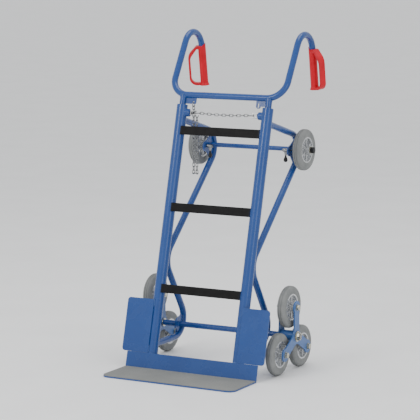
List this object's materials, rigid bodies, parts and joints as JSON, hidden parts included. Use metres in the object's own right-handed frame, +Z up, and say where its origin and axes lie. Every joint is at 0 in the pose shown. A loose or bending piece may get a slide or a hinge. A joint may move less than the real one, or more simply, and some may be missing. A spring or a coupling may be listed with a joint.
{
  "type": "stair climbing trolley",
  "caption": "Steel sack trolley with a toe plate, star wheels for stairs, rear support wheels and an adjustable handle with guarded grips.",
  "frame": {"origin": "centre of the bounding box's footprint, on the floor the toe plate and the lower star wheels stand on", "axes": "+Z up, +X across the trolley to the right of someone facing its toe plate from the front, -Y the way the toe plate points"},
  "size_m": [0.682, 0.769, 1.2709],
  "materials": {
    "blue_paint": "semi-gloss powder coat",
    "star_blue": "semi-gloss powder coat",
    "black_plastic": "satin extruded plastic",
    "cap_plastic": "satin moulded plastic",
    "mat_grey": "fine grained mat",
    "tyre_grey": "matt grey non-marking rubber",
    "rim_silver": "painted cast",
    "bright_zinc": "bright zinc plate",
    "spring_steel": "drawn wire",
    "yellow_zinc": "yellow passivated zinc plate",
    "grip_red": "moulded plastic",
    "dark_plastic": "moulded plastic"
  },
  "bodies": {
    "frame": {"upright_left": "blue_paint", "upright_right": "blue_paint", "side_bow_left": "blue_paint", "side_bow_right": "blue_paint", "crossbars": "blue_paint", "bar_cover_top": "black_plastic", "bar_cover_middle": "black_plastic", "bar_cover_bottom": "black_plastic", "bar_end_caps": "cap_plastic", "toe_plate": "blue_paint", "toe_mat": "mat_grey", "side_guards": "blue_paint", "lower_cross_tube": "blue_paint", "star_axle": "bright_zinc", "upper_cross_tube": "blue_paint", "upper_axle": "bright_zinc", "axle_gussets": "blue_paint", "plunger_bosses": "blue_paint", "guide_bushes": "cap_plastic", "release_chain": "bright_zinc", "axle_fasteners": "yellow_zinc", "lever_pins": "bright_zinc", "plunger_spring_left": "spring_steel", "plunger_spring_right": "spring_steel"},
    "handle": {"handle_tube": "blue_paint", "stem_left": "blue_paint", "stem_right": "blue_paint", "ear_left": "blue_paint", "ear_right": "blue_paint", "grip_left": "grip_red", "grip_right": "grip_red", "load_chain": "bright_zinc"},
    "plunger_left": {"plunger_left": "bright_zinc"},
    "plunger_right": {"plunger_right": "bright_zinc"},
    "lock_lever_left": {"lock_lever_left": "bright_zinc", "lever_grip_left": "dark_plastic"},
    "lock_lever_right": {"lock_lever_right": "bright_zinc", "lever_grip_right": "dark_plastic"},
    "star_left": {"star_plates_left": "star_blue", "star_hub_left": "star_blue", "star_bolts_left": "yellow_zinc"},
    "star_wheel_top_left": {"star_wheel_top_left_tyre": "tyre_grey", "star_wheel_top_left_rim": "rim_silver"},
    "star_wheel_front_left": {"star_wheel_front_left_tyre": "tyre_grey", "star_wheel_front_left_rim": "rim_silver"},
    "star_wheel_rear_left": {"star_wheel_rear_left_tyre": "tyre_grey", "star_wheel_rear_left_rim": "rim_silver"},
    "support_wheel_left": {"support_wheel_left_tyre": "tyre_grey", "support_wheel_left_rim": "rim_silver"},
    "star_right": {"star_plates_right": "star_blue", "star_hub_right": "star_blue", "star_bolts_right": "yellow_zinc"},
    "star_wheel_top_right": {"star_wheel_top_right_tyre": "tyre_grey", "star_wheel_top_right_rim": "rim_silver"},
    "star_wheel_front_right": {"star_wheel_front_right_tyre": "tyre_grey", "star_wheel_front_right_rim": "rim_silver"},
    "star_wheel_rear_right": {"star_wheel_rear_right_tyre": "tyre_grey", "star_wheel_rear_right_rim": "rim_silver"},
    "support_wheel_right": {"support_wheel_right_tyre": "tyre_grey", "support_wheel_right_rim": "rim_silver"}
  },
  "joints": [
    {"name": "handle_slide", "type": "slide", "parent": "frame", "child": "handle", "axis": [0, 0.2487, 0.9686], "range_m": [0, 0.3]},
    {"name": "plunger_left_pull", "type": "slide", "parent": "frame", "child": "plunger_left", "axis": [1, 0, 0], "range_m": [0, 0.0065], "stiffness_N_per_m": 800, "springref_m": -0.005, "deforming": ["plunger_spring_left"]},
    {"name": "plunger_right_pull", "type": "slide", "parent": "frame", "child": "plunger_right", "axis": [-1, 0, 0], "range_m": [0, 0.0065], "stiffness_N_per_m": 800, "springref_m": -0.005, "deforming": ["plunger_spring_right"]},
    {"name": "lock_lever_left_swing", "type": "hinge", "parent": "frame", "child": "lock_lever_left", "pos_m": [-0.1655, 0.26852, 0.812], "axis": [1, 0, 0], "range_deg": [-70, 45]},
    {"name": "lock_lever_right_swing", "type": "hinge", "parent": "frame", "child": "lock_lever_right", "pos_m": [0.1655, 0.26852, 0.812], "axis": [1, 0, 0], "range_deg": [-70, 45]},
    {"name": "star_left_spin", "type": "hinge", "parent": "frame", "child": "star_left", "pos_m": [-0.2905, 0.05052, 0.135], "axis": [1, 0, 0], "continuous": true},
    {"name": "star_wheel_top_left_spin", "type": "hinge", "parent": "star_left", "child": "star_wheel_top_left", "pos_m": [-0.2905, 0.05052, 0.245], "axis": [1, 0, 0], "continuous": true},
    {"name": "star_wheel_front_left_spin", "type": "hinge", "parent": "star_left", "child": "star_wheel_front_left", "pos_m": [-0.2905, -0.04474, 0.08], "axis": [1, 0, 0], "continuous": true},
    {"name": "star_wheel_rear_left_spin", "type": "hinge", "parent": "star_left", "child": "star_wheel_rear_left", "pos_m": [-0.2905, 0.14579, 0.08], "axis": [1, 0, 0], "continuous": true},
    {"name": "support_wheel_left_spin", "type": "hinge", "parent": "frame", "child": "support_wheel_left", "pos_m": [-0.228, 0.30252, 0.814], "axis": [1, 0, 0], "continuous": true},
    {"name": "star_right_spin", "type": "hinge", "parent": "frame", "child": "star_right", "pos_m": [0.2905, 0.05052, 0.135], "axis": [1, 0, 0], "continuous": true},
    {"name": "star_wheel_top_right_spin", "type": "hinge", "parent": "star_right", "child": "star_wheel_top_right", "pos_m": [0.2905, 0.05052, 0.245], "axis": [1, 0, 0], "continuous": true},
    {"name": "star_wheel_front_right_spin", "type": "hinge", "parent": "star_right", "child": "star_wheel_front_right", "pos_m": [0.2905, -0.04474, 0.08], "axis": [1, 0, 0], "continuous": true},
    {"name": "star_wheel_rear_right_spin", "type": "hinge", "parent": "star_right", "child": "star_wheel_rear_right", "pos_m": [0.2905, 0.14579, 0.08], "axis": [1, 0, 0], "continuous": true},
    {"name": "support_wheel_right_spin", "type": "hinge", "parent": "frame", "child": "support_wheel_right", "pos_m": [0.228, 0.30252, 0.814], "axis": [1, 0, 0], "continuous": true}
  ],
  "couplings": [
    {"joint": "plunger_left_pull", "follows": "plunger_right_pull", "ratio": 1}
  ]
}
